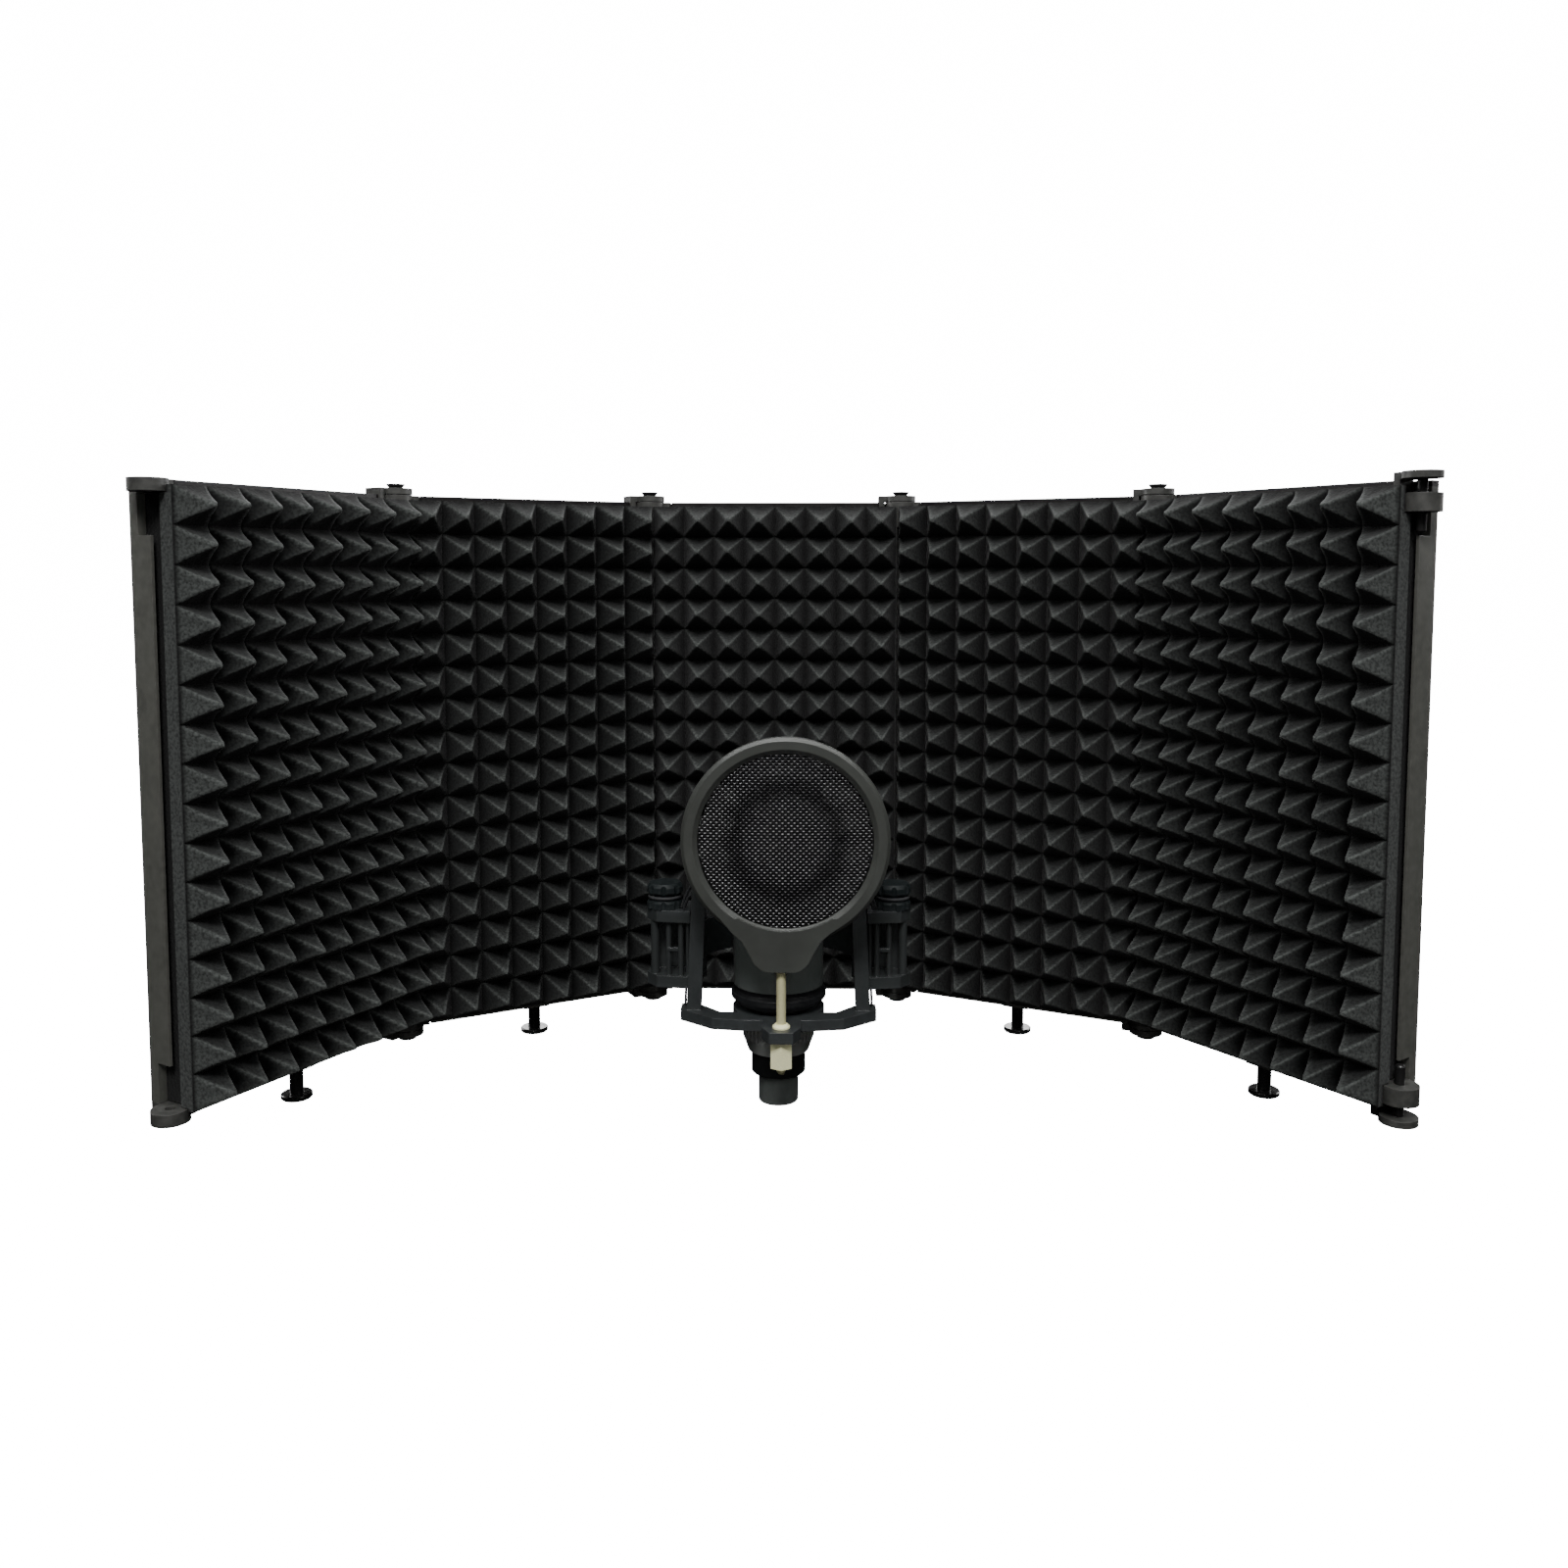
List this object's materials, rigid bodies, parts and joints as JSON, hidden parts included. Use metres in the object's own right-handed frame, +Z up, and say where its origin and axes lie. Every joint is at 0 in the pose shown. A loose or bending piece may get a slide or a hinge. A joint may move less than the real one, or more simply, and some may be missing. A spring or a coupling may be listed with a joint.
{
  "type": "microphone isolation shield",
  "caption": "Folding foam-faced isolation shield on small feet, with a shock-mounted microphone, a round pop filter and a stand thread.",
  "frame": {"origin": "mouth of the stand thread under the bracket, on its axis", "axes": "+X to the right as the speaker sees it, +Y away from the speaker, +Z up"},
  "size_m": [0.6463, 0.252, 0.3431],
  "materials": {
    "frame_satin": "satin, fine moulded grain",
    "perforated_plate": "powder coat",
    "acoustic_foam": "open-cell polyurethane foam",
    "hinge_plastic": "satin",
    "black_hardware": "black oxide",
    "foot_plastic": "smooth",
    "black_steel": "powder coat",
    "bright_steel": "zinc plated",
    "knob_plastic": "satin",
    "mount_plastic": "satin",
    "elastic_cord": "braided",
    "mic_black": "satin",
    "grille_mesh": "woven mesh",
    "capsule": "gold sputtered",
    "circuit_board": "solder mask",
    "connector_insulator": "matt",
    "contact_metal": "plated",
    "ring_nut_plastic": "knurled",
    "pop_ring_metal": "satin, bright chamfer",
    "pop_mesh": "woven mesh",
    "nickel": "nickel plated"
  },
  "bodies": {
    "centre": {"centre_frame": "frame_satin", "centre_back_plate": "perforated_plate", "centre_foam": "acoustic_foam", "centre_hinge_ears": "hinge_plastic", "centre_hinge_forks": "hinge_plastic", "centre_hinge_pins": "black_hardware", "bracket": "black_steel", "bracket_screws": "bright_steel", "stand_bush": "bright_steel"},
    "left": {"left_frame": "frame_satin", "left_back_plate": "perforated_plate", "left_foam": "acoustic_foam", "left_hinge_ears": "hinge_plastic", "left_hinge_forks": "hinge_plastic", "left_hinge_pins": "black_hardware", "left_foot": "foot_plastic"},
    "far_left": {"far_left_frame": "frame_satin", "far_left_back_plate": "perforated_plate", "far_left_foam": "acoustic_foam", "far_left_hinge_ears": "hinge_plastic", "far_left_hinge_forks": "hinge_plastic", "far_left_hinge_pins": "black_hardware", "far_left_foot": "foot_plastic"},
    "right": {"right_frame": "frame_satin", "right_back_plate": "perforated_plate", "right_foam": "acoustic_foam", "right_hinge_ears": "hinge_plastic", "right_hinge_forks": "hinge_plastic", "right_hinge_pins": "black_hardware", "right_foot": "foot_plastic"},
    "far_right": {"far_right_frame": "frame_satin", "far_right_back_plate": "perforated_plate", "far_right_foam": "acoustic_foam", "far_right_hinge_ears": "hinge_plastic", "far_right_hinge_forks": "hinge_plastic", "far_right_hinge_pins": "black_hardware", "far_right_foot": "foot_plastic"},
    "post": {"post": "black_steel"},
    "thumb_nut": {"post_thumb_nut": "knob_plastic"},
    "tilt_screw": {"tilt_knob": "knob_plastic"},
    "yoke": {"yoke": "mount_plastic", "band_anchors": "mount_plastic", "elastic_bands": "elastic_cord"},
    "cradle": {"cradle": "mount_plastic", "mic_base": "mic_black", "mic_body": "mic_black", "mic_grille": "grille_mesh", "mic_capsule": "capsule", "mic_board": "circuit_board", "connector_shell": "mic_black", "connector_insert": "connector_insulator", "connector_contacts": "contact_metal"},
    "ring_nut": {"ring_nut": "ring_nut_plastic"},
    "pop_filter": {"pop_front_ring": "pop_ring_metal", "pop_back_ring": "pop_ring_metal", "pop_mesh": "pop_mesh", "pop_stud": "nickel", "pop_clamp_nuts": "nickel"}
  },
  "joints": [
    {"name": "left_fold", "type": "hinge", "parent": "centre", "child": "left", "pos_m": [-0.0851, 0.045, 0.173], "axis": [0, 0, 1], "range_deg": [-29.4, 2.8]},
    {"name": "far_left_fold", "type": "hinge", "parent": "left", "child": "far_left", "pos_m": [-0.22606, -0.03443, 0.173], "axis": [0, 0, 1], "range_deg": [-31.7, 0.5]},
    {"name": "right_fold", "type": "hinge", "parent": "centre", "child": "right", "pos_m": [0.0767, 0.045, 0.173], "axis": [0, 0, -1], "range_deg": [-25.8, 6.4]},
    {"name": "far_right_fold", "type": "hinge", "parent": "right", "child": "far_right", "pos_m": [0.22237, -0.02542, 0.173], "axis": [0, 0, -1], "range_deg": [-29, 3.2]},
    {"name": "post_slide", "type": "slide", "parent": "centre", "child": "post", "axis": [0, 1, 0], "range_m": [-0.018, 0.009]},
    {"name": "thumb_nut_turn", "type": "hinge", "parent": "post", "child": "thumb_nut", "pos_m": [0, -0.039, 0.006], "axis": [0, 0, 1], "continuous": true},
    {"name": "mount_tilt", "type": "hinge", "parent": "post", "child": "yoke", "pos_m": [0, -0.039, 0.083], "axis": [1, 0, 0], "range_deg": [-30, 10]},
    {"name": "tilt_screw_turn", "type": "hinge", "parent": "post", "child": "tilt_screw", "pos_m": [0.015, -0.039, 0.083], "axis": [1, 0, 0], "continuous": true},
    {"name": "suspension", "type": "slide", "parent": "yoke", "child": "cradle", "axis": [0, 0, 1], "range_m": [-0.002, 0.002], "stiffness_N_per_m": 2500, "deforming": ["elastic_bands"]},
    {"name": "ring_nut_turn", "type": "hinge", "parent": "cradle", "child": "ring_nut", "pos_m": [0, -0.107, 0.037], "axis": [0, 0, 1], "continuous": true},
    {"name": "pop_filter_swing", "type": "hinge", "parent": "cradle", "child": "pop_filter", "pos_m": [0.0018, -0.145, 0.049], "axis": [0, 0, 1], "range_deg": [-25, 25]}
  ]
}
